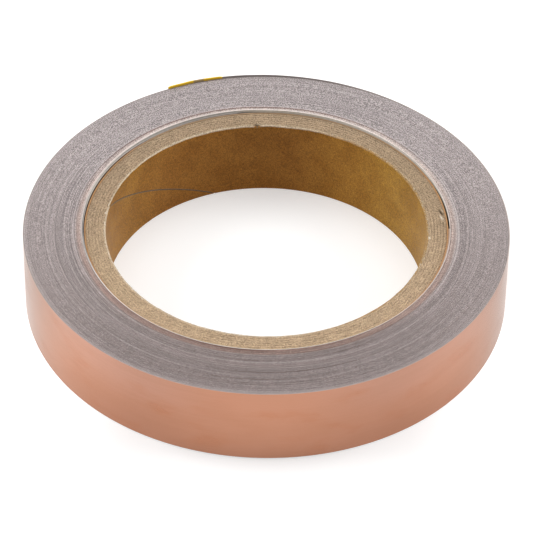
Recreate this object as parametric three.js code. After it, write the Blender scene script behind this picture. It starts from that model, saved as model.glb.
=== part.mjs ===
// A roll of copper foil tape lying flat on its side face. Millimetres, +Z up, origin at the centre of
// the underside. The free end of the tape is at the back (+Y) and points the way the angles grow.
import * as THREE from 'three';

// Driving dimensions
const TAPE_WIDTH = 20;
const BORE_R = 38.1; // the bore of a 3 inch core
const ROLL_R = 57.8;

// Paper tube core, from the bore outward
const CORE_PLIES = [
  { name: 'core_inner_ply', thick: 0.35, seam: 110, colour: 0xa17a49, rough: 0.75 },
  { name: 'core_board_ply_1', thick: 0.7, seam: 235, colour: 0xaf9a7c, rough: 0.95 },
  { name: 'core_board_ply_2', thick: 0.7, seam: 15, colour: 0xab9678, rough: 0.95 },
  { name: 'core_board_ply_3', thick: 0.7, seam: 155, colour: 0xb09b7d, rough: 0.95 },
  { name: 'core_board_ply_4', thick: 0.7, seam: 290, colour: 0xaa9577, rough: 0.95 },
  { name: 'core_board_ply_5', thick: 0.7, seam: 65, colour: 0xae997b, rough: 0.95 },
  { name: 'core_board_ply_6', thick: 0.7, seam: 200, colour: 0xac9779, rough: 0.95 },
  { name: 'core_outer_ply', thick: 0.3, seam: 330, colour: 0xb49475, rough: 0.8 },
];
const GLUE_LINE = 0.04;
const SEAM_SPAN = 60; // degrees that a ply's diagonal seam runs round while it crosses the width
const SEAM_WIDTH = 0.25; // the seam's opening, measured along the axis
const SEAM_TIP = 1.5; // degrees cut off the sharp tip where a ply's edge runs out

// The tape: foil with its adhesive coat on a release liner, copper side out
const LINER = 0.07;
const FOIL = 0.065;
const TURN_PITCH = 0.139; // growth in radius for each turn
const SLIP = 0.02; // clearance between neighbouring groups of turns

// Starter strip, a loose strip of paper between the core and the first turn
const STARTER_FROM = 100;
const STARTER_TO = 360;
const STARTER_THICK = 0.12;
const STARTER_LIFT = 0.2; // how far the strip stands off the core where it's slack
const STARTER_SLACK = [130, 210];
const STARTER_TOP = 20.35;

// Outer radius of each group of turns and how far the group stands above the core's faces
const FIRST_TURN_R = 43.6;
const FIRST_TURN_OPEN = 0.5; // degrees left open where the first turn passes on to the second
const TURN_GROUPS = [
  { outer: 45.4, proud: 0.7 },
  { outer: 47.6, proud: 0.5 },
  { outer: 50.0, proud: 0.38 },
  { outer: 52.2, proud: 0.28 },
  { outer: 54.0, proud: 0.18 },
  { outer: 55.9, proud: 0.09 },
  { outer: 57.47, proud: 0 },
];

// Free end of the tape
const TAIL_FROM = 50;
const TAIL_LINK = 20;
const TAIL_LINKS = 3;
const TAIL_TO = TAIL_FROM + TAIL_LINKS * TAIL_LINK;
const LINER_TIP_FROM = 100;
const TAIL_SKEW = 0.6; // how far the free end has crept up by its tip
const LAST_TURN_SPAN = 420; // the last turn runs on under the free end

// Sticker that holds the free end down
const TAB_FROM = 101.5;
const TAB_TO = 115.5;
const TAB_THICK = 0.1;
const TAB_LOW = 0.9;
const TAB_HIGH = 21;

const STEP = 5; // degrees between stations, shared by every piece so that they nest
const RAD = Math.PI / 180;
const COPPER = 0xc48c73;
const LINER_WHITE = 0xd8d2ca;

const roll = new THREE.Group();

function material(colour, roughness, metalness) {
  return new THREE.MeshStandardMaterial({ color: colour, roughness, metalness });
}

function addPiece(name, geometry, look) {
  const mesh = new THREE.Mesh(geometry, look);
  mesh.name = name;
  roll.add(mesh);
}

// A point between two shared stations lies on the flat between them, so that pieces nest there too.
function onFlat(angle) {
  const fromMiddle = angle - (Math.floor(angle / STEP) + 0.5) * STEP;
  return Math.cos(STEP / 2 * RAD) / Math.cos(fromMiddle * RAD);
}

// A bent strip through stations { angle, inner, outer, low, high }: each one is an upright rectangle.
function bentStrip(stations) {
  const corners = stations.flatMap(({ angle, inner, outer, low, high }) => {
    const c = Math.cos(angle * RAD) * onFlat(angle);
    const s = Math.sin(angle * RAD) * onFlat(angle);
    return [
      inner * c, inner * s, low,
      outer * c, outer * s, low,
      outer * c, outer * s, high,
      inner * c, inner * s, high,
    ];
  });
  const faces = [0, 1, 2, 0, 2, 3];
  for (let i = 0; i + 1 < stations.length; i += 1) {
    for (let side = 0; side < 4; side += 1) {
      const a = 4 * i + side;
      const b = 4 * i + ((side + 1) % 4);
      faces.push(a, a + 4, b, b, a + 4, b + 4);
    }
  }
  const end = 4 * (stations.length - 1);
  faces.push(end, end + 2, end + 1, end, end + 3, end + 2);
  const geometry = new THREE.BufferGeometry();
  geometry.setAttribute('position', new THREE.Float32BufferAttribute(corners, 3));
  geometry.setIndex(faces);
  return geometry;
}

// Angles from one end to the other: both ends and every shared station between them.
function anglesBetween(from, to) {
  const angles = [from];
  for (let a = (Math.floor(from / STEP) + 1) * STEP; a < to; a += STEP) {
    angles.push(a);
  }
  angles.push(to);
  return angles;
}

// One ply of the core: a strip wrapped once round, its two slanting edges meeting in a diagonal seam.
function corePly(inner, outer, seamFrom) {
  const rise = TAPE_WIDTH / SEAM_SPAN;
  const angles = anglesBetween(seamFrom + SEAM_TIP, seamFrom + 360 + SEAM_SPAN - SEAM_TIP);
  return bentStrip(angles.map((angle) => {
    const startEdge = (angle - seamFrom) * rise - SEAM_WIDTH / 2;
    const endEdge = (angle - seamFrom - 360) * rise + SEAM_WIDTH / 2;
    const low = Math.max(0, endEdge);
    const high = Math.min(TAPE_WIDTH, startEdge);
    return { angle, inner, outer, low, high };
  }));
}

function addCore() {
  let inner = BORE_R;
  for (const ply of CORE_PLIES) {
    const outer = inner + ply.thick;
    addPiece(ply.name, corePly(inner, outer, ply.seam), material(ply.colour, ply.rough, 0));
    inner = outer + GLUE_LINE;
  }
  return inner;
}

function addStarterStrip(coreR) {
  const [slackFrom, slackTo] = STARTER_SLACK;
  const stations = anglesBetween(STARTER_FROM, STARTER_TO).map((angle) => {
    const along = Math.min(1, Math.max(0, (angle - slackFrom) / (slackTo - slackFrom)));
    const inner = coreR + STARTER_LIFT * Math.sin(Math.PI * along);
    return { angle, inner, outer: inner + STARTER_THICK, low: 0, high: STARTER_TOP };
  });
  addPiece('starter_strip', bentStrip(stations), material(LINER_WHITE, 0.7, 0));
}

// A strip whose radius grows along the winding. outerAt gives its outer radius, liftAt its height.
function woundStrip(from, to, outerAt, thick, liftAt) {
  return bentStrip(anglesBetween(from, to).map((angle) => ({
    angle,
    inner: outerAt(angle) - thick,
    outer: outerAt(angle),
    low: liftAt(angle),
    high: liftAt(angle) + TAPE_WIDTH,
  })));
}

// Foil and liner of one stretch of tape, back to back.
function addTape(name, from, to, outerAt, liftAt, linerTo = to) {
  addPiece(`${name}_foil`, woundStrip(from, to, outerAt, FOIL, liftAt), material(COPPER, 0.3, 0.9));
  const linerOuter = (angle) => outerAt(angle) - FOIL;
  const liner = woundStrip(from, linerTo, linerOuter, LINER, liftAt);
  addPiece(`${name}_liner`, liner, material(LINER_WHITE, 0.6, 0));
}

function addFirstTurn() {
  const proud = TURN_GROUPS[0].proud;
  const outerAt = () => FIRST_TURN_R + LINER + FOIL;
  addTape('first_turn', 0, 360 - FIRST_TURN_OPEN, outerAt, () => proud);
  return outerAt();
}

// A closed ring of turns, drawn as a rectangle turned about the axis.
function turnRing(inner, outer, proud) {
  const profile = [
    new THREE.Vector2(inner, proud),
    new THREE.Vector2(outer, proud),
    new THREE.Vector2(outer, proud + TAPE_WIDTH),
    new THREE.Vector2(inner, proud + TAPE_WIDTH),
    new THREE.Vector2(inner, proud),
  ];
  const ring = new THREE.LatheGeometry(profile, 360 / STEP);
  return ring.rotateX(Math.PI / 2);
}

function addTurnGroups(innerR) {
  let inner = innerR + SLIP;
  TURN_GROUPS.forEach(({ outer, proud }, i) => {
    addPiece(`wound_turns_${i + 1}`, turnRing(inner, outer, proud), material(0xa89b97, 0.55, 0.4));
    inner = outer + SLIP;
  });
}

// The outside of the roll is a spiral that reaches ROLL_R where the free end starts.
function spiralOuter(angle) {
  return ROLL_R + TURN_PITCH * (angle - TAIL_FROM) / 360;
}

function tailLift(angle) {
  return TAIL_SKEW * Math.max(0, angle - TAIL_FROM) / (TAIL_TO - TAIL_FROM);
}

function addLastTurn() {
  addTape('last_turn', TAIL_FROM - LAST_TURN_SPAN, TAIL_FROM, spiralOuter, () => 0);
}

function addTail() {
  for (let k = 1; k <= TAIL_LINKS; k += 1) {
    const from = TAIL_FROM + (k - 1) * TAIL_LINK;
    const to = from + TAIL_LINK;
    addTape(`tail_${k}`, from, to, spiralOuter, tailLift, Math.min(to, LINER_TIP_FROM));
  }
  const linerOuter = (angle) => spiralOuter(angle) - FOIL;
  const tip = woundStrip(LINER_TIP_FROM, TAIL_TO, linerOuter, LINER, tailLift);
  addPiece('tail_liner_tip', tip, material(LINER_WHITE, 0.6, 0));
}

// The sticker follows the free end and then steps down onto the turn below it.
function addClosureTab() {
  const stations = anglesBetween(TAB_FROM, TAB_TO).map((angle) => {
    const under = angle <= TAIL_TO ? spiralOuter(angle) : spiralOuter(angle - 360);
    const inner = under + SLIP;
    return { angle, inner, outer: inner + TAB_THICK, low: TAB_LOW, high: TAB_HIGH };
  });
  addPiece('closure_tab', bentStrip(stations), material(0xe8bb1c, 0.5, 0));
}

const coreR = addCore();
addStarterStrip(coreR);
const firstTurnR = addFirstTurn();
addTurnGroups(firstTurnR);
addLastTurn();
addTail();
addClosureTab();

export default roll;
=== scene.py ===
"""The looks of a copper foil tape roll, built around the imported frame.

Metres and degrees, +Z up, origin on the core's axis at the roll's underside. Angles grow anticlockwise
from +X.
"""

import math
import random

import bpy
import numpy as np
from mathutils import Matrix, Vector, noise


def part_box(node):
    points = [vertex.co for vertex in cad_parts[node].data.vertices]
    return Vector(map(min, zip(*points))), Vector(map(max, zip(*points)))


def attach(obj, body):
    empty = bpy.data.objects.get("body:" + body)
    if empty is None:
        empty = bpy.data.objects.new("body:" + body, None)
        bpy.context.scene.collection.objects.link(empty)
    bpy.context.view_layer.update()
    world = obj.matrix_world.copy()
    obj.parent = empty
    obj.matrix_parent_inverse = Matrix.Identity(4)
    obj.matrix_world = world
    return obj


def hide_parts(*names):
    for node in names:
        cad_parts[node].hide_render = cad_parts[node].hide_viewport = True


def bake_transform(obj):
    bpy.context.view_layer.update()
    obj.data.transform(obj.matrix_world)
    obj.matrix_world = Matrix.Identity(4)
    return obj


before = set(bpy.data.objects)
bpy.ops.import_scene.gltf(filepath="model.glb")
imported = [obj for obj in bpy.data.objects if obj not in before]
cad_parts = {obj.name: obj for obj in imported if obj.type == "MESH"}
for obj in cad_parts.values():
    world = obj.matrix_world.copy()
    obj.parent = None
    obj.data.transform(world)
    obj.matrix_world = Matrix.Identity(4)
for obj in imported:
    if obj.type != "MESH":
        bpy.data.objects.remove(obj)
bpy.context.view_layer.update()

MM = 0.001
FULL = 360.0


# ---------------------------------------------------------------- sizes, from the frame

def reach(node):
    """A ring's outer radius: how far its box reaches along +X."""
    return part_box(node)[1][0]


def height(node):
    """The height of a node's top."""
    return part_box(node)[1][2]


WIDTH = height("core_inner_ply")

# The core
LINING_THICK = 0.35 * MM
PLY_GAP = 0.04 * MM  # a glue line
BORE_R = reach("core_inner_ply") - LINING_THICK
CORE_R = reach("core_outer_ply")
BOARD_PLIES = [f"core_board_ply_{k}" for k in range(1, 7)]
SEAM_FROM, SEAM_SPAN, SEAM_WIDTH = 110.0, 60.0, 0.14 * MM  # the lining's seam climbs from the underside
NOTCH_AT, NOTCH_HALF = 94.0, 0.9  # a notch in the lining's rim and its half width

# The tape
LINER = 0.07 * MM
FOIL = 0.065 * MM
PITCH = 0.139 * MM  # growth in radius for each turn
SLIP = 0.02 * MM  # clearance beside the groups of turns and under the sticker
FIRST_R = reach("first_turn_foil") - LINER - FOIL
ROLL_R = 57.8 * MM  # where the free end starts
TURN_GROUPS = [f"wound_turns_{k}" for k in range(1, 8)]
STARTER_FROM, STARTER_TO = 100.0, 360.0
STARTER_THICK, STARTER_THICKER = 0.12 * MM, 0.185 * MM  # and how much thicker it is at its second end
STARTER_LIFT, STARTER_SLACK = 0.2 * MM, (130.0, 210.0)  # how far the strip stands off the core, and where

# The free end of the tape, and the sticker on it
TAIL_FROM, TAIL_TO = 50.0, 110.0
LAST_TURN_FROM = TAIL_FROM - FULL - 60.0  # the last turn runs on under the free end
LINER_TIP_FROM = 100.0
TAIL_SKEW = height("tail_liner_tip") - WIDTH
TAB_FROM, TAB_TO, TAB_THICK = 101.5, 115.5, 0.1 * MM
TAB_BAND_AT = 107.5  # the middle of the sticker's dark band


def smooth(t):
    """A smooth step from 0 to 1 as t goes from 0 to 1."""
    t = np.clip(t, 0.0, 1.0)
    return t * t * (3 - 2 * t)


SEED_SHIFT = (17.13, 5.71, 9.37)  # how far a seed of 1 moves the noise


def wavy(points, scale, seed, octaves=2):
    """Smooth noise, about -1 to 1, at an array of points (n, 3)."""
    shift = Vector([seed * by for by in SEED_SHIFT])
    return np.array([noise.fractal(Vector(p) * scale + shift, 1.0, 2.0, octaves) for p in points])


def round_wave(angles, turns, seed, octaves=2):
    """Noise that closes on itself round the axis: about `turns` waves in a full turn."""
    a = np.radians(angles)
    circle = np.stack([np.cos(a), np.sin(a), np.zeros_like(a)], axis=1)
    return wavy(circle * (turns / (2 * math.pi)), 1.0, seed, octaves)


# ---------------------------------------------------------------- meshes

def mesh_object(name, verts, faces, uv=None, sharp=40, mark=None):
    """A smooth mesh with edges sharp above an angle, and the UV map "along" and the marks, where given.

    A point's mark goes from -1, or less, for dark to 1 for pale, and each material says what it makes of it.
    """
    mesh = bpy.data.meshes.new(name)
    mesh.from_pydata([tuple(v) for v in verts], [], faces)
    if mark is not None:
        marks = mesh.attributes.new("mark", "FLOAT", "POINT")
        marks.data.foreach_set("value", np.asarray(mark, dtype=np.float32))
    if uv is not None:
        layer = mesh.uv_layers.new(name="along")
        index = np.empty(len(mesh.loops), dtype=np.int32)
        mesh.loops.foreach_get("vertex_index", index)
        layer.data.foreach_set("uv", np.asarray(uv, dtype=np.float32)[index].ravel())
    mesh.polygons.foreach_set("use_smooth", [True] * len(mesh.polygons))
    mesh.set_sharp_from_angle(angle=math.radians(sharp))
    mesh.update()
    obj = bpy.data.objects.new(name, mesh)
    bpy.context.scene.collection.objects.link(obj)
    return obj


def swept(name, angles, section, closed=False, sharp=40, across=None, mark=None):
    """A body swept round the axis.

    section is an array (stations, points, 2): the radius and height of a closed outline at each angle. The UV
    map holds the length along the sweep and the height, or across where that is given for each point.
    """
    count, points = section.shape[:2]
    a = np.radians(angles)[:, None]
    r, z = section[..., 0], section[..., 1]
    verts = np.stack([r * np.cos(a), r * np.sin(a), z], axis=-1).reshape(-1, 3)
    second = z if across is None else np.broadcast_to(across, r.shape)
    uv = np.stack([np.broadcast_to(a * ROLL_R, r.shape), second], axis=-1).reshape(-1, 2)
    if mark is not None:
        mark = np.broadcast_to(mark, r.shape).ravel()
    faces = []
    spans = count if closed else count - 1
    for i in range(spans):
        here, there = i * points, ((i + 1) % count) * points
        for j in range(points):
            k = (j + 1) % points
            faces.append((here + j, there + j, there + k, here + k))
    if not closed:
        faces.append(tuple(range(points)))
        faces.append(tuple(reversed(range((count - 1) * points, count * points))))
    return mesh_object(name, verts, faces, uv, sharp, mark)


def strip_section(inner, outer, low, high, rows):
    """An upright strip's outline at each station: up the outside and down the inside.

    rows is how many points it has on each side, or their places from 0 at the bottom to 1 at the top.
    """
    share = np.linspace(0, 1, rows) if isinstance(rows, int) else np.array(rows)
    low = np.broadcast_to(low, inner.shape)[:, None]
    high = np.broadcast_to(high, inner.shape)[:, None]
    z = low + (high - low) * share[None, :]
    out = np.stack([np.broadcast_to(outer[:, None], z.shape), z], axis=-1)
    back = np.stack([np.broadcast_to(inner[:, None], z.shape), z], axis=-1)[:, ::-1]
    return np.concatenate([out, back], axis=1)


def stations(start, stop, step):
    """Angles from start to stop, both included, about a step apart."""
    return np.linspace(start, stop, int(round((stop - start) / step)) + 1)


# ---------------------------------------------------------------- material nodes

TO_MM = (1000.0, 1000.0, 1000.0)


class Nodes:
    """A short way to write a material's node tree."""

    def __init__(self, name):
        self.material = bpy.data.materials.new(name)
        self.material.use_nodes = True
        self.tree = self.material.node_tree
        self.shader = self.tree.nodes["Principled BSDF"]

    def add(self, kind, **sockets):
        """A new node. Each word is a setting of it or, with spaces for underscores, an input's name."""
        node = self.tree.nodes.new(kind)
        for key, value in sockets.items():
            if hasattr(node, key):
                setattr(node, key, value)
            else:
                self.put(node.inputs[key.replace("_", " ")], value)
        return node

    def put(self, socket, value):
        if isinstance(value, bpy.types.NodeSocket):
            self.tree.links.new(value, socket)
        else:
            socket.default_value = value

    def math(self, operation, a, b=0.0, clamp=False):
        node = self.add("ShaderNodeMath", operation=operation, use_clamp=clamp)
        self.put(node.inputs[0], a)
        self.put(node.inputs[1], b)
        return node.outputs[0]

    def vector_math(self, operation, a, b):
        node = self.add("ShaderNodeVectorMath", operation=operation)
        self.put(node.inputs[0], a)
        self.put(node.inputs[1], b)
        return node.outputs

    def scale(self, vector, by):
        return self.vector_math("MULTIPLY", vector, by)["Vector"]

    def plus(self, a, b):
        return self.vector_math("ADD", a, b)["Vector"]

    def apart(self, vector):
        """The x, y and z of a vector."""
        return self.add("ShaderNodeSeparateXYZ", Vector=vector).outputs

    def noise(self, vector, scale, detail=3.0, rough=0.5):
        node = self.add("ShaderNodeTexNoise", Vector=vector, Scale=scale, Detail=detail, Roughness=rough)
        return node.outputs["Fac"]

    def spread(self, value, low, high, to_low=0.0, to_high=1.0):
        """A smooth step from to_low, where value is low, to to_high, where it is high."""
        node = self.add("ShaderNodeMapRange", interpolation_type="SMOOTHSTEP", Value=value,
                        From_Min=low, From_Max=high, To_Min=to_low, To_Max=to_high)
        return node.outputs["Result"]

    def mix(self, factor, a, b):
        """Colour a where the factor is 0, colour b where it is 1. The node's colour sockets go by number."""
        node = self.add("ShaderNodeMix", data_type="RGBA")
        self.put(node.inputs["Factor"], factor)
        self.put(node.inputs[6], a)
        self.put(node.inputs[7], b)
        return node.outputs[2]

    def bump(self, height_value, distance, strength):
        node = self.add("ShaderNodeBump", Height=height_value, Distance=distance, Strength=strength)
        return node.outputs["Normal"]

    def place(self):
        """Position in millimetres."""
        return self.scale(self.add("ShaderNodeTexCoord").outputs["Object"], TO_MM)

    def uv(self):
        return self.add("ShaderNodeUVMap", uv_map="along").outputs["UV"]

    def along(self):
        """Length along the tape and height, in millimetres."""
        return self.scale(self.uv(), TO_MM)

    def facing(self):
        """How far the surface faces up (1) or down (-1)."""
        return self.apart(self.add("ShaderNodeNewGeometry").outputs["True Normal"])[2]

    def marks(self):
        """The mesh's marks, as how pale and how dark, each 0 where the other isn't."""
        mark = self.add("ShaderNodeAttribute", attribute_name="mark").outputs["Fac"]
        opposite = self.math("MULTIPLY", mark, -1.0)
        return self.math("MAXIMUM", mark, 0.0), self.math("MAXIMUM", opposite, 0.0)

    def random(self, value):
        """A random number from 0 to 1 for each value."""
        return self.add("ShaderNodeTexWhiteNoise", noise_dimensions="1D", W=value).outputs["Value"]

    def tone(self, colour, low, high, factor):
        """A colour times low where the factor is 0 and times high where it is 1."""
        shade = self.spread(factor, 0.0, 1.0, low, high)
        node = self.add("ShaderNodeVectorMath", operation="SCALE")
        self.put(node.inputs[0], colour)
        self.put(node.inputs["Scale"], shade)
        return node.outputs[0]

    def round_axis(self, position):
        """A position's distance from the axis, its direction from there as a unit vector, and its height."""
        x, y, z = self.apart(position)
        flat = self.add("ShaderNodeCombineXYZ", X=x, Y=y).outputs["Vector"]
        length = self.add("ShaderNodeVectorMath", operation="LENGTH", Vector=flat)
        unit = self.add("ShaderNodeVectorMath", operation="NORMALIZE", Vector=flat)
        return length.outputs["Value"], unit.outputs["Vector"], z

    def finish(self, **sockets):
        """The material, with these values and links on its shader."""
        for key, value in sockets.items():
            self.put(self.shader.inputs[key.replace("_", " ")], value)
        return self.material


def rgb(r, g, b):
    return (r, g, b, 1.0)


def copper_material():
    """Bright rolled foil under a clear coat, with faint lines along the tape, a few warmer stains and a
    painted sheen towards the roll's sides.
    """
    n = Nodes("copper_foil")
    at = n.along()
    lines = n.noise(n.scale(at, (0.012, 3.0, 1.0)), 1.0, 4.0, 0.6)
    fine = n.noise(n.scale(at, (0.6, 9.0, 1.0)), 1.0, 3.0, 0.6)
    cloud = n.noise(n.scale(at, (0.045, 0.09, 1.0)), 1.0, 3.0, 0.5)
    stain = n.noise(n.scale(at, (0.060, 0.13, 1.0)), 1.0, 4.0, 0.55)
    colour = n.mix(n.spread(cloud, 0.35, 0.68), rgb(0.466, 0.219, 0.136), rgb(0.442, 0.203, 0.121))
    colour = n.mix(n.spread(stain, 0.50, 0.72, 0.0, 0.55), colour, rgb(0.435, 0.170, 0.084))
    colour = n.mix(n.spread(lines, 0.35, 0.7, 0.0, 0.25), colour, rgb(0.510, 0.242, 0.153))
    _, unit, z = n.round_axis(n.place())
    side = n.math("ABSOLUTE", n.apart(unit)[0])
    # Painted sheen: the foil is paler and whiter high on the wall towards the roll's sides, less so at the
    # very edges.
    painted_sheen = n.math("MULTIPLY", n.spread(z, 7.0, 19.0), n.spread(side, 0.1, 0.5))
    painted_sheen = n.math("MULTIPLY", painted_sheen, n.spread(side, 0.75, 0.95, 1.0, 0.3))
    colour = n.mix(painted_sheen, colour, n.scale(colour, (1.03, 1.14, 1.30)))
    cut_edge = n.spread(n.math("ABSOLUTE", n.facing()), 0.6, 0.8)
    colour = n.mix(cut_edge, colour, rgb(0.50, 0.415, 0.38))
    rough = n.math("ADD", n.spread(fine, 0.3, 0.7, 0.21, 0.25), n.spread(stain, 0.50, 0.75, 0.0, 0.05))
    rough = n.math("ADD", rough, n.math("MULTIPLY", cut_edge, 0.3))
    height_value = n.math("ADD", n.math("MULTIPLY", lines, 0.6), n.math("MULTIPLY", fine, 0.4))
    return n.finish(Base_Color=colour, Metallic=1.0, Roughness=rough, Specular_Tint=rgb(0.74, 0.76, 0.75),
                    Coat_Weight=0.25, Coat_Roughness=0.16, Normal=n.bump(height_value, 0.004 * MM, 0.4))


def wound_material():
    """Edges of the turns: pale paper on each turn's side towards the core, dull foil on the other side."""
    n = Nodes("wound_edges")
    at = n.place()
    turn = n.apart(n.uv())[1]
    whole = n.math("FLOOR", turn)
    phase = n.math("FRACT", turn)
    _, unit, _ = n.round_axis(at)
    unit_x, unit_y, _ = n.apart(unit)
    per_turn = n.add("ShaderNodeCombineXYZ", Z=n.math("MULTIPLY", turn, 1.15)).outputs["Vector"]
    line = n.noise(n.plus(per_turn, n.scale(unit, (1.3, 1.3, 0.0))), 1.0, 2.0, 0.7)
    grit = n.spread(n.noise(at, 3.8, 1.5, 0.7), 0.39, 0.61)
    # Real grit all round, its contrast raised towards the back as painted glints.
    grit_and_glint = n.spread(unit_y, -0.4, 1.0, 0.45, 0.97)
    speck = n.math("ADD", 0.5, n.math("MULTIPLY", n.math("SUBTRACT", grit, 0.5), grit_and_glint))
    blotch = n.noise(at, 0.45, 3.0, 0.6)
    first = n.spread(turn, 6.0, 13.0, 1.0, 0.0)
    paper = n.mix(first, rgb(0.382, 0.338, 0.335), rgb(0.475, 0.395, 0.360))
    foil = n.mix(first, rgb(0.147, 0.109, 0.099), rgb(0.225, 0.140, 0.114))
    paper = n.tone(paper, 0.52, 1.50, speck)
    foil = n.tone(foil, 0.72, 1.28, speck)
    is_paper = n.spread(phase, 0.49, 0.53, 1.0, 0.0)
    colour = n.mix(is_paper, foil, paper)
    lined = n.tone(colour, 0.72, 1.30, n.spread(line, 0.38, 0.62))
    lined = n.tone(lined, 0.89, 1.11, n.random(whole))
    how_lined = n.spread(turn, 34.0, 70.0, 1.0, 0.5)
    how_lined = n.math("MULTIPLY", how_lined, n.spread(unit_y, 0.3, 1.0, 1.0, 0.3))
    how_lined = n.math("MULTIPLY", how_lined, n.spread(unit_y, -1.0, -0.3, 0.42, 1.0))
    how_lined = n.math("MULTIPLY", how_lined, n.spread(unit_x, 0.3, 0.9, 1.0, 0.85))
    colour = n.mix(how_lined, colour, lined)
    colour = n.tone(colour, 0.95, 1.05, n.spread(blotch, 0.3, 0.7))
    # Painted sheen, lighter towards the left and right sides, and painted shade, a little darker at the back.
    colour = n.tone(colour, 1.0, 1.08, n.spread(n.math("ABSOLUTE", unit_x), 0.5, 0.95))
    colour = n.tone(colour, 1.0, 0.95, n.spread(unit_y, 0.75, 0.98))
    # The marks paint pale highlights and dark shadows along the lines of turns, and the highlight on the
    # first turns' edges.
    pale, dark = n.marks()
    colour = n.mix(pale, colour, rgb(0.80, 0.715, 0.68))
    colour = n.mix(dark, colour, rgb(0.15, 0.075, 0.062))
    rough = n.spread(speck, 0.0, 1.0, 0.46, 0.60)
    is_foil = n.math("SUBTRACT", 1.0, n.math("MAXIMUM", is_paper, pale))
    return n.finish(Base_Color=colour, Metallic=n.math("MULTIPLY", is_foil, 0.5), Roughness=rough,
                    Normal=n.bump(speck, 0.02 * MM, 0.5))


def liner_material():
    """Grey release paper, a little glossy, with faint fibres. Its cut edges are dull.

    Paper marked pale is white, with painted shade, almost black, where it goes down behind the core's wall. A
    dark mark turns the paper brown up to 1, and from 1 to 2 into painted shade as dark as a deep gap.
    """
    n = Nodes("release_liner")
    at = n.along()
    fibre = n.noise(n.scale(at, (0.8, 2.5, 1.0)), 1.0, 4.0, 0.6)
    cloud = n.noise(n.scale(at, (0.1, 0.2, 1.0)), 1.0, 2.0)
    pale, brown = n.marks()
    white = n.mix(n.spread(fibre, 0.35, 0.7), rgb(0.72, 0.69, 0.64), rgb(0.58, 0.56, 0.52))
    grey = n.mix(n.spread(fibre, 0.35, 0.7), rgb(0.37, 0.335, 0.325), rgb(0.30, 0.27, 0.26))
    colour = n.mix(pale, grey, white)
    colour = n.tone(colour, 1.0, 0.9, n.spread(cloud, 0.4, 0.7))
    edge = n.mix(pale, rgb(0.37, 0.32, 0.30), rgb(0.90, 0.85, 0.81))
    colour = n.mix(n.spread(n.facing(), 0.6, 0.8), colour, edge)
    z = n.apart(n.place())[2]
    colour = n.mix(brown, colour, rgb(0.46, 0.285, 0.185))
    # Painted shade, almost black, on pale paper below the core's top and where a dark mark passes 1.
    deep = n.math("MULTIPLY", pale, n.spread(z, 19.7, 20.15, 1.0, 0.0))
    deep = n.math("MAXIMUM", deep, n.math("SUBTRACT", brown, 1.0, clamp=True))
    colour = n.mix(deep, colour, rgb(0.040, 0.022, 0.013))
    rough = n.math("MAXIMUM", n.spread(fibre, 0.3, 0.7, 0.42, 0.6), n.math("MULTIPLY", deep, 0.95))
    return n.finish(Base_Color=colour, Roughness=rough, Normal=n.bump(fibre, 0.01 * MM, 0.4))


def board_material():
    """Cut chipboard: a grainy face with faint layers along the turn, dark flecks and pale crumbs."""
    n = Nodes("core_board")
    at = n.place()
    radius, unit, z = n.round_axis(at)
    layer = n.add("ShaderNodeCombineXYZ", X=n.math("MULTIPLY", radius, 3.4), Z=n.math("MULTIPLY", z, 0.8))
    along_layer = n.plus(layer.outputs["Vector"], n.scale(unit, (26.0, 26.0, 0.0)))
    streak = n.noise(along_layer, 1.0, 4.0, 0.6)
    blotch = n.noise(at, 0.35, 3.0, 0.6)
    grit = n.noise(at, 3.8, 3.0, 0.7)
    fleck = n.noise(at, 1.9, 3.0, 0.65)
    colour = n.mix(n.spread(streak, 0.35, 0.68), rgb(0.424, 0.307, 0.198), rgb(0.342, 0.243, 0.152))
    colour = n.tone(colour, 0.94, 1.06, n.spread(blotch, 0.3, 0.7))
    # Painted shade: the board is darker towards the back.
    colour = n.tone(colour, 1.06, 0.82, n.spread(n.apart(unit)[1], -1.0, 0.8))
    colour = n.tone(colour, 0.58, 1.44, n.spread(grit, 0.68, 0.32))
    colour = n.mix(n.spread(fleck, 0.66, 0.71, 0.0, 0.85), colour, rgb(0.10, 0.062, 0.032))
    pale, dark = n.marks()
    colour = n.mix(pale, colour, rgb(0.74, 0.66, 0.54))
    # Dark marks: gouges, and painted shade in the notch.
    colour = n.mix(dark, colour, rgb(0.075, 0.045, 0.024))
    height_value = n.math("ADD", n.math("MULTIPLY", streak, 0.4), n.math("MULTIPLY", grit, 0.6))
    return n.finish(Base_Color=colour, Roughness=n.spread(grit, 0.3, 0.7, 0.85, 0.98),
                    Normal=n.bump(height_value, 0.1 * MM, 0.7), Specular_IOR_Level=0.25)


# Painted shade: the lining is darker and browner round this angle, on the back wall, which faces away from
# the lights.
SHADE_AT = math.radians(105.0)  # where the lining is browner
SHADE_SIDE = (math.cos(SHADE_AT), math.sin(SHADE_AT), 0.0)


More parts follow.
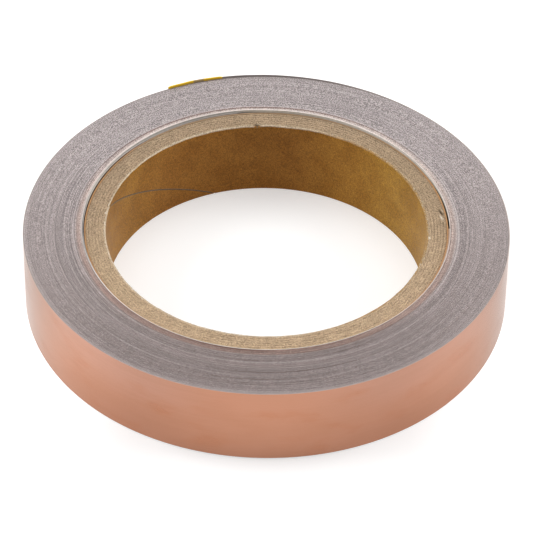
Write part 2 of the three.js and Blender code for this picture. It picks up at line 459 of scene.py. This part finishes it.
def lining_material():
    """Golden kraft paper inside the bore: mottled, with a fine grain, a little shiny at a low angle, with
    painted light and shade that change round the bore.

    A dark mark is the seam's brown up to 1, and from 1 to 2 painted shade as dark as a deep gap.
    """
    n = Nodes("core_lining")
    at = n.place()
    blotch = n.noise(at, 0.16, 4.0, 0.6)
    mottle = n.noise(at, 1.6, 4.0, 0.7)
    grain = n.noise(at, 3.6, 3.0, 0.7)
    colour = n.mix(n.spread(blotch, 0.35, 0.68), rgb(0.323, 0.153, 0.025), rgb(0.264, 0.118, 0.017))
    colour = n.tone(colour, 0.88, 1.12, n.spread(mottle, 0.3, 0.7))
    _, unit, _ = n.round_axis(at)
    # Painted shade on the back wall of the bore.
    towards_shade = n.vector_math("DOT_PRODUCT", unit, SHADE_SIDE)["Value"]
    colour = n.mix(n.spread(towards_shade, 0.70, 0.95), colour, n.scale(colour, (0.84, 0.77, 0.82)))
    # Painted shade, a little darker at the left and right, and painted light, paler and yellower, on the +X
    # side.
    unit_x = n.apart(unit)[0]
    colour = n.tone(colour, 1.0, 0.92, n.spread(n.math("ABSOLUTE", unit_x), 0.65, 0.95))
    colour = n.mix(n.spread(unit_x, 0.45, 0.85), colour, n.scale(colour, (1.06, 1.19, 1.16)))
    pale, dark = n.marks()
    colour = n.mix(pale, colour, rgb(0.52, 0.415, 0.30))
    colour = n.mix(dark, colour, rgb(0.175, 0.132, 0.090))
    # Painted shade, as dark as a deep gap, in the notch.
    colour = n.mix(n.math("SUBTRACT", dark, 1.0, clamp=True), colour, rgb(0.05, 0.028, 0.014))
    colour = n.tone(colour, 0.72, 1.28, n.spread(grain, 0.34, 0.66))
    height_value = n.math("ADD", n.math("MULTIPLY", mottle, 0.4), n.math("MULTIPLY", grain, 0.6))
    return n.finish(Base_Color=colour, Roughness=n.spread(mottle, 0.3, 0.7, 0.40, 0.52),
                    Normal=n.bump(height_value, 0.06 * MM, 0.6), Specular_IOR_Level=0.08)


def outer_ply_material():
    """Orange-brown kraft paper round the core, greyer at the back."""
    n = Nodes("core_outer_kraft")
    at = n.place()
    fibre = n.noise(at, 2.4, 4.0, 0.65)
    colour = n.mix(n.spread(fibre, 0.35, 0.68), rgb(0.56, 0.315, 0.145), rgb(0.40, 0.205, 0.085))
    _, unit, _ = n.round_axis(at)
    to_back = n.spread(n.apart(unit)[1], 0.35, 0.85, 0.0, 0.85)
    colour = n.mix(to_back, colour, rgb(0.38, 0.265, 0.165))
    return n.finish(Base_Color=colour, Roughness=n.spread(fibre, 0.3, 0.7, 0.75, 0.9),
                    Normal=n.bump(fibre, 0.06 * MM, 0.5))


def fibre_material():
    """Torn paper fibres from tan to almost white."""
    n = Nodes("torn_fibres")
    tint = n.noise(n.place(), 0.9, 2.0)
    colour = n.mix(n.spread(tint, 0.35, 0.55), rgb(0.46, 0.36, 0.24), rgb(0.62, 0.53, 0.40))
    colour = n.mix(n.spread(tint, 0.58, 0.64), colour, rgb(0.82, 0.78, 0.70))
    return n.finish(Base_Color=colour, Roughness=n.spread(tint, 0.3, 0.7, 0.85, 0.95))


def tab_material():
    """Yellow coated sticker with one plain dark band across its middle, and painted shade on its faces that
    don't face up.
    """
    n = Nodes("yellow_sticker")
    at = n.along()
    middle = math.radians(TAB_BAND_AT) * ROLL_R / MM
    from_middle = n.math("ABSOLUTE", n.math("SUBTRACT", n.apart(at)[0], middle))
    band = n.spread(from_middle, 1.0, 1.7, 0.85, 0.0)
    grain = n.noise(n.scale(at, (1.2, 1.2, 1.0)), 1.0, 4.0, 0.6)
    colour = n.mix(n.spread(grain, 0.35, 0.7), rgb(0.93, 0.66, 0.045), rgb(0.86, 0.56, 0.022))
    # Painted shade: darker orange on the faces that don't face up.
    inside = n.spread(n.facing(), 0.2, 0.6, 0.55, 0.0)
    colour = n.mix(inside, colour, rgb(0.66, 0.33, 0.012))
    colour = n.mix(band, colour, rgb(0.36, 0.26, 0.15))
    return n.finish(Base_Color=colour, Roughness=n.spread(grain, 0.3, 0.7, 0.38, 0.5),
                    Normal=n.bump(grain, 0.01 * MM, 0.4))


COPPER = copper_material()
WOUND = wound_material()
PAPER = liner_material()
BOARD = board_material()
LINING = lining_material()
OUTER_PLY = outer_ply_material()
FIBRES = fibre_material()
YELLOW = tab_material()


def dress(obj, material, slot, body, *nodes):
    """Give an object its material and the body it rides on, if any, and hide the nodes it replaces. The slot
    is not used.
    """
    obj.data.materials.append(material)
    if body:
        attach(obj, body)
    if nodes:
        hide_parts(*nodes)
    return obj


# ---------------------------------------------------------------- the core

TIPS_CUT = (0.25, 0.4)  # degrees left off the lining's two sharp tips
RIM_DEPTH = 0.5 * MM  # how far down the lining's rim stays ragged
RIM_DROP, NOTCH_DROP = 0.08 * MM, 0.75 * MM  # how far the rim, and the notch in it, lie below the core's top
LIP_DEPTH, LIP_OUT = 0.45 * MM, 0.12 * MM  # the rim leans out over this depth, by this much


def build_lining():
    """The bore's lining: a strip wrapped once, meeting in a diagonal seam, with a rough cut top edge."""
    rise = WIDTH / SEAM_SPAN
    angles = stations(SEAM_FROM + TIPS_CUT[0], SEAM_FROM + FULL + SEAM_SPAN - TIPS_CUT[1], 0.75)
    low = np.maximum(0.0, (angles - SEAM_FROM - FULL) * rise + SEAM_WIDTH / 2)
    high = np.minimum(WIDTH, (angles - SEAM_FROM) * rise - SEAM_WIDTH / 2)
    rag = 0.10 * round_wave(angles, 60, 3.0, 3) + 0.06 * round_wave(angles, 170, 4.0, 2)
    notch = np.exp(-(((angles % FULL) - NOTCH_AT) / NOTCH_HALF) ** 2)
    notch *= 0.8 + 0.5 * round_wave(angles, 200, 7.0)
    at_top = smooth((high - (WIDTH - RIM_DEPTH)) / RIM_DEPTH)
    high = high + at_top * (rag * MM - RIM_DROP - NOTCH_DROP * notch)
    wave = 0.03 * MM * round_wave(angles, 9, 5.0)
    inner = np.full(len(angles), BORE_R) + wave
    outer = np.full(len(angles), reach("core_inner_ply"))
    rows = [0.0, 0.006, 0.012] + [k / 10 for k in range(1, 10)] + [0.982, 0.991, 1.0]
    section = strip_section(inner, outer, low, high, rows)
    lip = smooth((section[..., 1] - (WIDTH - LIP_DEPTH)) / LIP_DEPTH)
    section[..., 0] += lip * (LIP_OUT + 0.05 * MM * round_wave(angles, 90, 6.0)[:, None])
    # The rim is pale, the notch in it is marked dark as painted shade, and the strip's edges along the seam
    # are dark
    end = np.array([1.0, 1.0] + [0.0] * (len(rows) - 4) + [1.0, 1.0])
    end = np.concatenate([end, end[::-1]])[None, :]
    rim = at_top * (1.0 - 0.75 * smooth((np.cos(np.radians(angles)) - 0.1) / 0.6))
    rim_mark = end * (rim - 3.2 * np.clip(notch, 0, 1))[:, None]
    mark = np.where(section[..., 1] > WIDTH - 0.9 * MM, rim_mark, -end)
    mark = np.where(section[..., 1] < 0.5 * MM, 0.0, mark)
    obj = swept("core_lining", angles, section, mark=mark)
    return dress(obj, LINING, "core_lining", "roll", "core_inner_ply")


def rough_top(angles, radii, seed, depth):
    """Height changes over a cut face, (angles, radii): crumbly noise, drawn out along the turn."""
    grid_a, grid_r = np.meshgrid(np.radians(angles), radii, indexing="ij")
    x, y = np.cos(grid_a) * grid_r, np.sin(grid_a) * grid_r
    points = np.stack([x / MM, y / MM, grid_r * 1.5 / MM], axis=-1)
    return depth * wavy(points.reshape(-1, 3), 1.7, seed, 3).reshape(grid_r.shape)


# Small scars on the core's top: where, in degrees and millimetres of radius, half its length and half its
# width in millimetres, its lean in degrees and its mark
SCARS = [
    (8.75, 42.1, 1.1, 0.25, -14.0, -1.4),
    (5.9, 42.0, 0.7, 0.23, -12.0, 1.1),
    (9.2, 42.6, 0.5, 0.20, -14.0, 0.5),
    (13.0, 38.9, 0.4, 0.25, 0.0, -0.5),
    (-4.5, 38.75, 0.35, 0.25, 0.0, 0.95),
    (149.8, 42.1, 0.4, 0.20, 0.0, -0.6),
]
# Across a board ply, from its inside out: how far its cut faces dip to the glue lines, in millimetres, and
# how much of the notch in the lining goes on into the first ply
PLY_DIP = np.array([0.09, 0.015, 0.0, 0.015, 0.09])
NOTCH_SHARE = np.array([1.0, 1.0, 0.6, 0.15, 0.0])
PLY_NOTCH = 0.65 * MM  # how deep the notch is in the first ply
CRUMBS = 0.085 * MM  # how rough the board's cut faces are
SCAR_HEIGHT = 0.10 * MM  # how far a pale scar stands up and a dark one goes down


def scar_marks(angles, radii):
    """The marks, (angles, radii), of dark gouges and pale torn flakes on the core's top."""
    total = np.zeros((len(angles), len(radii)))
    for at, radius, half_long, half_wide, lean, strength in SCARS:
        turned = (angles - at + FULL / 2) % FULL - FULL / 2
        along = np.radians(turned)[:, None] * radius
        out = (radii / MM - radius)[None, :]
        c, s = math.cos(math.radians(lean)), math.sin(math.radians(lean))
        length, width = along * c + out * s, out * c - along * s
        total += strength * np.exp(-(length / half_long) ** 2 - (width / half_wide) ** 2)
    return np.clip(total, -1, 1)


def build_board(k, node, inner):
    """One chipboard ply, with crumbly cut faces that dip along the glue lines."""
    angles = np.arange(0.0, FULL, 0.4)
    radii = np.linspace(inner, reach(node), len(PLY_DIP))
    dip = PLY_DIP * MM
    crumbs_above = rough_top(angles, radii, 11.0 + k, CRUMBS)
    crumbs_below = rough_top(angles, radii, 31.0 + k, CRUMBS)
    top = WIDTH - 0.03 * MM - dip + np.minimum(0.05 * MM, crumbs_above)
    bottom = 0.03 * MM + dip + np.maximum(-0.03 * MM, crumbs_below)
    near_notch = np.exp(-((angles - NOTCH_AT) / NOTCH_HALF) ** 2)[:, None]
    torn = near_notch * (NOTCH_SHARE if k == 1 else np.zeros(len(radii)))
    top -= PLY_NOTCH * torn
    scars = scar_marks(angles, radii)
    top += SCAR_HEIGHT * scars
    upward = np.stack([np.broadcast_to(radii[::-1], top.shape), top[:, ::-1]], axis=-1)
    downward = np.stack([np.broadcast_to(radii, bottom.shape), bottom], axis=-1)
    section = np.concatenate([upward, downward], axis=1)
    # Pale and dark scars are marked, and the notch is marked dark as painted shade.
    mark = np.concatenate([(scars - torn)[:, ::-1], np.zeros_like(torn)], axis=1)
    obj = swept(f"core_board_{k}", angles, section, closed=True, sharp=60, mark=mark)
    return dress(obj, BOARD, "core_board", "roll", node)


def build_outer_ply(inner):
    """The thin kraft ply round the core's wall."""
    angles = np.arange(0.0, FULL, 0.75)
    high = WIDTH + 0.03 * MM + 0.06 * MM * round_wave(angles, 40, 8.0, 3)
    low = 0.02 * MM + np.abs(0.04 * MM * round_wave(angles, 40, 9.0, 3))
    section = strip_section(np.full(len(angles), inner), np.full(len(angles), CORE_R), low, high, 4)
    obj = swept("core_outer_wrap", angles, section, closed=True)
    return dress(obj, OUTER_PLY, "core_outer", "roll", "core_outer_ply")


FIBRE_COUNT = 900
FIBRE_STEPS = 3


def build_fibres():
    """Torn paper fibres along the bore's top edge, each a thin bent sliver with three sides."""
    rng = random.Random(41)
    verts, faces = [], []
    for _ in range(FIBRE_COUNT):
        a = rng.uniform(0, 2 * math.pi)
        lean = rng.uniform(-1.2, 1.2)
        length = rng.uniform(0.25, 0.75) * MM
        thick = rng.uniform(0.02, 0.05) * MM
        r = BORE_R + rng.uniform(0.05, 0.65) * MM
        z = WIDTH - rng.uniform(0.04, 0.12) * MM
        radial = Vector((math.cos(a), math.sin(a), 0))
        tangent = Vector((-math.sin(a), math.cos(a), 0))
        way = (tangent * math.cos(lean) - radial * math.sin(lean) * 0.6).normalized()
        side = way.cross(Vector((0, 0, 1)))
        start = radial * r + Vector((0, 0, z))
        arch = rng.uniform(0.03, 0.14) * MM
        first = len(verts)
        for i in range(FIBRE_STEPS + 1):
            t = i / FIBRE_STEPS
            middle = start + way * (length * (t - 0.5)) + Vector((0, 0, arch * math.sin(math.pi * t)))
            w = thick * (0.35 + 0.65 * math.sin(math.pi * min(0.95, max(0.05, t))))
            verts += [middle - side * w, middle + side * w, middle + Vector((0, 0, w))]
        for i in range(FIBRE_STEPS):
            b = first + 3 * i
            for j in range(3):
                k = (j + 1) % 3
                faces.append((b + j, b + k, b + 3 + k, b + 3 + j))
        last = first + 3 * FIBRE_STEPS
        faces.append((first + 2, first + 1, first))
        faces.append((last, last + 1, last + 2))
    return dress(mesh_object("torn_fibres", verts, faces), FIBRES, "core_board", "roll")


def build_core():
    build_lining()
    inner = reach("core_inner_ply") + PLY_GAP
    for k, node in enumerate(BOARD_PLIES, 1):
        build_board(k, node, inner)
        inner = reach(node) + PLY_GAP
    build_outer_ply(inner)
    build_fibres()


# ---------------------------------------------------------------- the wound tape

SEAT_DOWN, SEAT_OUT = 0.29 * MM, 0.14 * MM


def seat(angles):
    """How far the first turns drop onto the core, or swell out from it.

    They drop where no starter strip lies under them and swell where that strip is slack.
    """
    a = angles % FULL
    down = smooth((a - 3.0) / 32.0) * (1 - smooth((a - 88.0) / 13.0))
    return -SEAT_DOWN * down + SEAT_OUT * np.exp(-((a - 178.0) / 28.0) ** 2)


# The starter strip's marks along its edge, by angle: white at 1, greyer below 1 as painted shade, brown below
# 0
STARTER_EDGE = [
    (120, 0.3), (135, 0.5), (150, 0.9), (165, 1.0), (180, 0.4), (210, 0.5), (225, 0.7), (325, -0.75),
]


def build_starter():
    """The loose paper strip on the core: slack on one side, thicker and brown towards its second end."""
    angles = stations(STARTER_FROM, STARTER_TO, 1.0)
    slack_from, slack_to = STARTER_SLACK
    slack = np.sin(np.pi * np.clip((angles - slack_from) / (slack_to - slack_from), 0, 1))
    inner = CORE_R + PLY_GAP + STARTER_LIFT * slack
    thick = STARTER_THICK + STARTER_THICKER * smooth((angles - 290.0) / 40.0)
    high = height("starter_strip") + 0.02 * MM * round_wave(angles, 14, 12.0)
    section = strip_section(inner, inner + thick, 0.0, high, [0.0, 0.5, 0.985, 1.0])
    edge = np.interp(angles, *zip(*STARTER_EDGE))
    shadow = smooth((angles - 132.0) / 12.0) * (1 - smooth((angles - 210.0) / 15.0))
    inside = edge * (1 - shadow) - 2.0 * shadow
    mark = np.stack([edge] * 5 + [inside] * 3, axis=1)
    obj = swept("starter_paper", angles, section, mark=mark)
    return dress(obj, PAPER, "liner", "roll", "starter_strip")


def build_first_turn():
    """The innermost turn of liner and foil, which stands proud of the core."""
    angles = stations(0.0, 359.5, 1.0)
    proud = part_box("first_turn_liner")[0][2]
    inner = FIRST_R + seat(angles)
    edge = 0.03 * MM * round_wave(angles, 16, 14.0)
    liner = strip_section(inner, inner + LINER, proud, proud + WIDTH + 0.06 * MM + edge, 5)
    # White paper, greyed from about 100 to 170 degrees as painted shade.
    pale = np.interp(angles, (95, 108, 150, 175), (1.0, 0.55, 0.55, 1.0))
    obj = swept("first_turn_paper", angles, liner, mark=pale[:, None])
    dress(obj, PAPER, "liner", "roll", "first_turn_liner")
    foil = strip_section(inner + LINER, inner + LINER + FOIL, proud, proud + WIDTH + edge * 0.5, 5)
    obj = swept("first_turn_copper", angles, foil)
    dress(obj, COPPER, "copper", "roll", "first_turn_foil")


# Radius and how far the turns there stand above the core's faces, in millimetres
PROUD_AT = [
    (43.3, 0.66), (44.25, 0.66), (44.5, 0.45), (44.85, 0.42), (45.0, 0.50), (45.35, 0.50), (45.6, 0.42),
    (47.4, 0.37), (47.6, 0.41), (47.85, 0.33), (49.0, 0.30), (49.25, 0.33), (49.5, 0.27), (50.0, 0.26),
    (51.9, 0.21), (52.0, 0.23), (52.2, 0.18), (53.9, 0.13), (55.9, 0.06), (56.2, 0.05), (57.47, 0.0),
]
# Lines painted on the turns, pale as highlights and dark as shadows along the steps between groups: radius
# and half width in millimetres, then the mark at each angle of LINE_AT but the last, where it's the first
# again
LINE_AT = (0, 90, 140, 180, 220, 270, 315, 360)
LIGHT_AND_SHADE_LINES = [
    (44.05, 0.25, 0.0, 0.0, -0.03, -0.12, -0.3, -0.35, 0.1),
    (44.35, 0.45, 0.0, 0.0, 0.0, 0.0, -0.24, 0.0, -0.26),
    (44.45, 0.13, 0.0, -0.15, -0.2, -0.2, -0.15, -0.1, -0.05),
    (44.70, 0.35, 0.22, 0.0, 0.0, 0.0, 0.0, 0.0, 0.0),
    (44.98, 0.17, 0.05, -1.0, -0.85, -0.15, -0.08, 0.0, 0.0),
    (45.05, 0.30, 0.0, 0.0, 0.09, 0.1, 0.07, 0.0, 0.0),
    (45.25, 0.14, 0.32, 0.3, 0.32, 0.18, 0.15, 0.12, 0.12),
    (45.65, 0.35, 0.0, 0.0, 0.0, 0.0, -0.12, 0.0, -0.12),
    (46.40, 0.10, 0.0, 0.05, 0.08, 0.1, 0.08, 0.05, 0.02),
    (47.65, 0.13, 0.08, 0.0, 0.04, 0.08, 0.1, 0.1, 0.06),
    (48.45, 0.20, 0.0, 0.0, 0.0, 0.0, -0.06, -0.24, -0.08),
    (49.30, 0.12, 0.0, 0.0, 0.04, 0.08, 0.1, 0.14, 0.07),
    (52.00, 0.10, 0.05, 0.0, 0.06, 0.1, 0.11, 0.12, 0.08),
    (55.90, 0.12, 0.0, 0.0, 0.0, 0.0, -0.05, -0.1, -0.05),
    (56.90, 0.10, 0.0, 0.0, 0.03, 0.05, 0.08, 0.12, 0.06),
    (57.25, 0.10, 0.1, 0.0, 0.14, 0.25, 0.23, 0.2, 0.15),
]
# The first turns' pale edges with a painted highlight, strongest at the back: angle in degrees and how bright
FIRST_EDGE_HIGHLIGHT = [
    (0, 0.0), (20, 0.32), (60, 0.62), (150, 0.66), (180, 0.50), (225, 0.05), (345, 0.0), (360, 0.0),
]
BULGE = 0.48 * MM  # how far the steps and lines on the wound face bulge towards the sides of the roll
BULGE_SHARE = [(43.9, 0.0), (45.2, 1.0), (50.0, 0.7), (56.0, 0.0)]  # radius in millimetres and share of BULGE
RIDGE, FIRST_RIDGE = 0.034 * MM, 0.045 * MM  # how far each turn's edge stands up, and in the first group
VALLEY = 0.035 * MM  # how far the groove between two edges lies inside the cut face
GROUP_GAP = 0.005 * MM  # left between two groups
SPREAD_OVER = 1.5 * MM  # the outermost turns spread, over this depth, to meet the last turn


def round_radius(angles, radii):
    """The radius at which each point would lie if the steps and lines were round."""
    bulge = BULGE * np.cos(np.radians(angles)) ** 2
    share = np.interp(radii / MM, *zip(*BULGE_SHARE))
    return radii[None, :] - bulge[:, None] * share[None, :]


def proud_at(radii):
    return np.interp(radii / MM, *zip(*PROUD_AT)) * MM


def line_marks(angles, radii):
    """Painted highlights and shadows on the turns, which show as lines. radii is (angles, rings), as if the
    lines were round.
    """
    bright = np.interp(angles % FULL, *zip(*FIRST_EDGE_HIGHLIGHT))[:, None]
    bright_to = np.interp(angles % FULL, (150, 165), (43.98, 43.9))[:, None]
    mark = bright * np.exp(-(np.maximum(0.0, radii / MM - bright_to) / (0.04 + 0.20 * bright)) ** 2)
    for radius, half, *around in LIGHT_AND_SHADE_LINES:
        strength = np.interp(angles, LINE_AT, around + around[:1])[:, None]
        mark += strength * np.exp(-((radii / MM - radius) / half) ** 2)
    return np.clip(mark, -1, 1)


def spiral(angles):
    """The roll's outside, which reaches ROLL_R where the free end starts."""
    return ROLL_R + PITCH * (angles - TAIL_FROM) / FULL


def room_outside(angles):
    """How far the last group of turns can spread, from 0 to 360 degrees, before it meets the last turn."""
    turned = np.where(angles < LAST_TURN_FROM % FULL, angles - FULL, angles - 2 * FULL)
    return spiral(turned) - FOIL - LINER - GROUP_GAP - reach(TURN_GROUPS[-1])


def build_turn_group(k, node, inner, first_turn, whole_from, whole_to):
    """A group of turns as one body. Each turn's edge is a ridge, paper towards the core, foil away from it.

    whole_from and whole_to are the inner and outer radius of all the groups. Returns the next turn's number.
    """
    outer = reach(node)
    turns = int(round((outer - inner) / PITCH))
    rings = 2 * turns + 1
    rng = random.Random(100 + k)
    radii = np.linspace(inner, outer, rings)
    angles = np.arange(0.0, FULL, 1.0)
    is_peak = np.arange(rings) % 2 == 1
    ridge = np.where(is_peak, FIRST_RIDGE if k == 1 else RIDGE, 0.0)
    ridge += np.array([rng.uniform(-0.010, 0.010) for _ in range(rings)]) * MM
    wander = np.stack([round_wave(angles, 9, 50.0 + k + 0.37 * i, 3) for i in range(rings)], axis=1)
    nominal = round_radius(angles, radii)
    level = proud_at(nominal)
    top = WIDTH - VALLEY + level + ridge + 0.018 * MM * wander
    bottom = np.maximum(0.0, level + VALLEY - ridge + 0.014 * MM * wander)
    seated = np.clip((whole_to - radii) / (whole_to - whole_from), 0, 1) ** 1.5
    outward = np.clip(1 - (whole_to - radii) / SPREAD_OVER, 0, 1)
    r = radii[None, :] + seat(angles)[:, None] * seated[None, :]
    r = r + room_outside(angles)[:, None] * outward[None, :]
    count = first_turn + np.arange(rings) / 2
    marks = line_marks(angles, nominal)
    upward = np.stack([r[:, ::-1], top[:, ::-1]], axis=-1)
    downward = np.stack([r, bottom], axis=-1)
    section = np.concatenate([upward, downward], axis=1)
    across = np.concatenate([count[::-1], count])[None, :]
    mark = np.concatenate([marks[:, ::-1], marks], axis=1)
    obj = swept(f"turns_{k}", angles, section, closed=True, sharp=75, across=across, mark=mark)
    dress(obj, WOUND, "wound_edge", "roll", node)
    return first_turn + turns


def lift(angles):
    """How far the free end has climbed."""
    return TAIL_SKEW * np.maximum(0.0, angles - TAIL_FROM) / (TAIL_TO - TAIL_FROM)


def tape_section(angles, outer, thick, rows):
    """Foil or liner along the outside of the roll, its edges a little uneven."""
    edge = 0.015 * MM * wavy(np.stack([angles * 0.2, angles * 0, angles * 0], axis=1), 1.0, 21.0)
    low = np.maximum(0.0, lift(angles) + edge)
    return strip_section(outer - thick, outer, low, lift(angles) + WIDTH + edge, rows)


def tape_pair(name, start, stop, body, node, blend=None, liner_stop=None):
    """A stretch of foil and the liner behind it; where blend is given, their placing is baked into their
    meshes.
    """
    for part, shift, thick, material, slot, rows, layer, end in (
        ("copper", 0.0, FOIL, COPPER, "copper", 9, "foil", stop),
        ("paper", FOIL, LINER, PAPER, "liner", 5, "liner", liner_stop or stop),
    ):
        angles = stations(start, end, 1.0)
        section = tape_section(angles, spiral(angles) - shift, thick, rows)
        obj = swept(f"{name}_{part}", angles, section, mark=0.0)
        dress(obj, material, slot, body, f"{node}_{layer}")
        if blend:
            bend(obj, *blend)


def bend(obj, a, b, start, stop):
    """Bake an object's placing into its mesh; the bodies a and b and the angles start and stop are not used.
    """
    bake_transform(obj)


def build_outside():
    """The last turn, the free end in three stretches, and the liner's tip."""
    tape_pair("last_turn", LAST_TURN_FROM, TAIL_FROM, "roll", "last_turn")
    tape_pair("free_end_1", TAIL_FROM, 62.0, None, "tail_1", blend=("roll", "tail_root", TAIL_FROM, 58.0))
    tape_pair("free_end_2", 62.0, 80.0, None, "tail_2", blend=("tail_root", "tail_middle", 65.0, 75.0))
    tape_pair("free_end_3", 80.0, TAIL_TO, None, "tail_3", blend=("tail_middle", "tail_end", 85.0, 95.0),
              liner_stop=LINER_TIP_FROM)
    angles = stations(LINER_TIP_FROM, TAIL_TO, 1.0)
    section = tape_section(angles, spiral(angles) - FOIL, LINER, 5)
    tip = swept("liner_tip_paper", angles, section, mark=0.0)
    dress(tip, PAPER, "liner", None, "tail_liner_tip")
    bend(tip, "tail_end", "liner_tip", LINER_TIP_FROM, LINER_TIP_FROM + 5.0)


TAB_BEND = 0.12 * MM  # how far down the sticker's fold over the tape's edge starts


def build_tab():
    """The sticker: up the outside of the free end, over the tape's top edge and a little way down inside."""
    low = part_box("closure_tab")[0][2]
    angles = stations(TAB_FROM, TAB_TO, 0.5)
    over = smooth((angles - TAIL_TO) / 1.5)
    on_tail = spiral(np.minimum(angles, TAIL_TO))
    under = on_tail * (1 - over) + (spiral(angles - FULL) + SLIP) * over
    outer = under + SLIP + TAB_THICK
    ends = np.minimum(1.0, np.minimum(angles - TAB_FROM, TAB_TO - angles) / 0.8)
    inset = 0.5 * MM * (1 - np.sqrt(np.clip(1 - (1 - ends) ** 2, 0, 1)))
    top = WIDTH + lift(np.minimum(angles, TAIL_TO)) + 0.13 * MM - 0.3 * inset
    fold = FOIL + LINER + SLIP + TAB_THICK  # from the sheet's middle line outside to the middle line inside
    middle = outer - TAB_THICK / 2
    path = [(middle, low + inset)]
    path += [(middle, low + inset + (top - TAB_BEND - low - inset) * t) for t in (0.25, 0.5, 0.75, 1.0)]
    path += [(middle - fold * (0.5 - 0.5 * math.cos(t)), top - TAB_BEND * (1 - math.sin(t)))
             for t in np.radians((30, 60, 90, 120, 150))]
    path += [(middle - fold, top - TAB_BEND), (middle - fold, np.full(len(angles), WIDTH + 0.09 * MM))]
    path = np.array([np.stack(p, axis=-1) for p in path]).transpose(1, 0, 2)
    way = np.gradient(path, axis=1)
    way /= np.linalg.norm(way, axis=2, keepdims=True)
    side = np.stack([way[..., 1], -way[..., 0]], axis=-1) * (TAB_THICK / 2)
    section = np.concatenate([path + side, (path - side)[:, ::-1]], axis=1)
    obj = swept("sticker", angles, section, sharp=50)
    return dress(obj, YELLOW, "tab_yellow", "tail_end", "closure_tab")


def build_tape():
    build_starter()
    build_first_turn()
    inner = reach("first_turn_foil") + SLIP
    start, stop = inner, reach(TURN_GROUPS[-1])
    turn = 0
    for k, node in enumerate(TURN_GROUPS, 1):
        turn = build_turn_group(k, node, inner, turn, start, stop)
        inner = reach(node) + GROUP_GAP
    build_outside()
    build_tab()


# ---------------------------------------------------------------- floor, light and camera

# Light thrown up from the floor, and more of it beside the roll, as from bounce cards: where, in
# millimetres, and how much
GLOW = 0.62
BOUNCE = [((-61.0, -29.0, 0.0), 0.55), ((63.0, -29.0, 0.0), 0.42)]
FLOOR_HALF, FLOOR_DOWN = 3, 0.2 * MM


def build_floor():
    """A pale floor just under the roll, which glows as painted light, more in two patches beside the roll."""
    n = Nodes("floor_white")
    tint = n.noise(n.place(), 0.02, 2.0)
    colour = n.mix(n.spread(tint, 0.3, 0.7), rgb(0.68, 0.68, 0.68), rgb(0.67, 0.67, 0.67))
    glow = GLOW
    for place, more in BOUNCE:
        away = n.vector_math("DISTANCE", n.place(), place)["Value"]
        glow = n.math("ADD", glow, n.spread(away, 4.0, 40.0, more, 0.0))
    corners = [(x * FLOOR_HALF, y * FLOOR_HALF, 0) for x, y in ((-1, -1), (1, -1), (1, 1), (-1, 1))]
    floor = mesh_object("floor", corners, [(0, 1, 2, 3)])
    floor.location.z = -FLOOR_DOWN
    floor.data.materials.append(n.finish(Base_Color=colour, Roughness=0.9, Specular_IOR_Level=0.1,
                                         Emission_Color=colour, Emission_Strength=glow))


def build_light():
    """White light from all round, and three square panels above the roll and beside it."""
    world = bpy.data.worlds.new("studio")
    bpy.context.scene.world = world
    world.use_nodes = True
    back = world.node_tree.nodes["Background"]
    back.inputs["Color"].default_value = rgb(1.0, 1.0, 1.0)
    back.inputs["Strength"].default_value = 0.48
    add_panel("top_panel", (0.0, 0.28, 1.0), 0.9, 3.3)
    add_panel("left_panel", (-0.76, 0.15, 0.46), 0.6, 5.9)
    add_panel("right_panel", (0.76, 0.15, 0.46), 0.6, 5.1)


def add_panel(name, place, size, power):
    """A square panel of light that faces the roll."""
    lamp = bpy.data.lights.new(name, "AREA")
    lamp.shape = "SQUARE"
    lamp.size = size
    lamp.energy = power
    obj = bpy.data.objects.new(name, lamp)
    obj.location = place
    obj.rotation_euler = (-Vector(place)).to_track_quat("-Z", "Y").to_euler()
    bpy.context.scene.collection.objects.link(obj)


CAMERA_ELEVATION = 41.79
CAMERA_DISTANCE = 848.2 * MM
CAMERA_ROLL = 0.82
CAMERA_LENS = 237.46  # millimetres, on a sensor 36 wide
AIM_UP, AIM_RIGHT = 5.65 * MM, 0.26 * MM  # from the origin to the middle of the picture


def looking(way):
    """The rotation of a camera that looks along a direction, with its small roll."""
    roll = Matrix.Rotation(math.radians(CAMERA_ROLL), 3, "Z").to_quaternion()
    return way.to_track_quat("-Z", "Y") @ roll


def build_camera():
    """The camera that was fitted to the photo."""
    data = bpy.data.cameras.new("camera")
    data.sensor_width = 36.0
    data.lens = CAMERA_LENS
    data.clip_start, data.clip_end = 0.05, 20.0
    cam = bpy.data.objects.new("camera", data)
    bpy.context.scene.collection.objects.link(cam)
    bpy.context.scene.camera = cam
    e = math.radians(CAMERA_ELEVATION)
    place = Vector((0, -math.cos(e), math.sin(e))) * CAMERA_DISTANCE
    aim = looking(-place) @ Vector((AIM_RIGHT, AIM_UP, 0))
    cam.location = place
    cam.rotation_mode = "QUATERNION"
    cam.rotation_quaternion = looking(aim - place)


bpy.context.scene.view_settings.view_transform = "Standard"
build_camera()
build_light()
build_floor()
build_core()
build_tape()
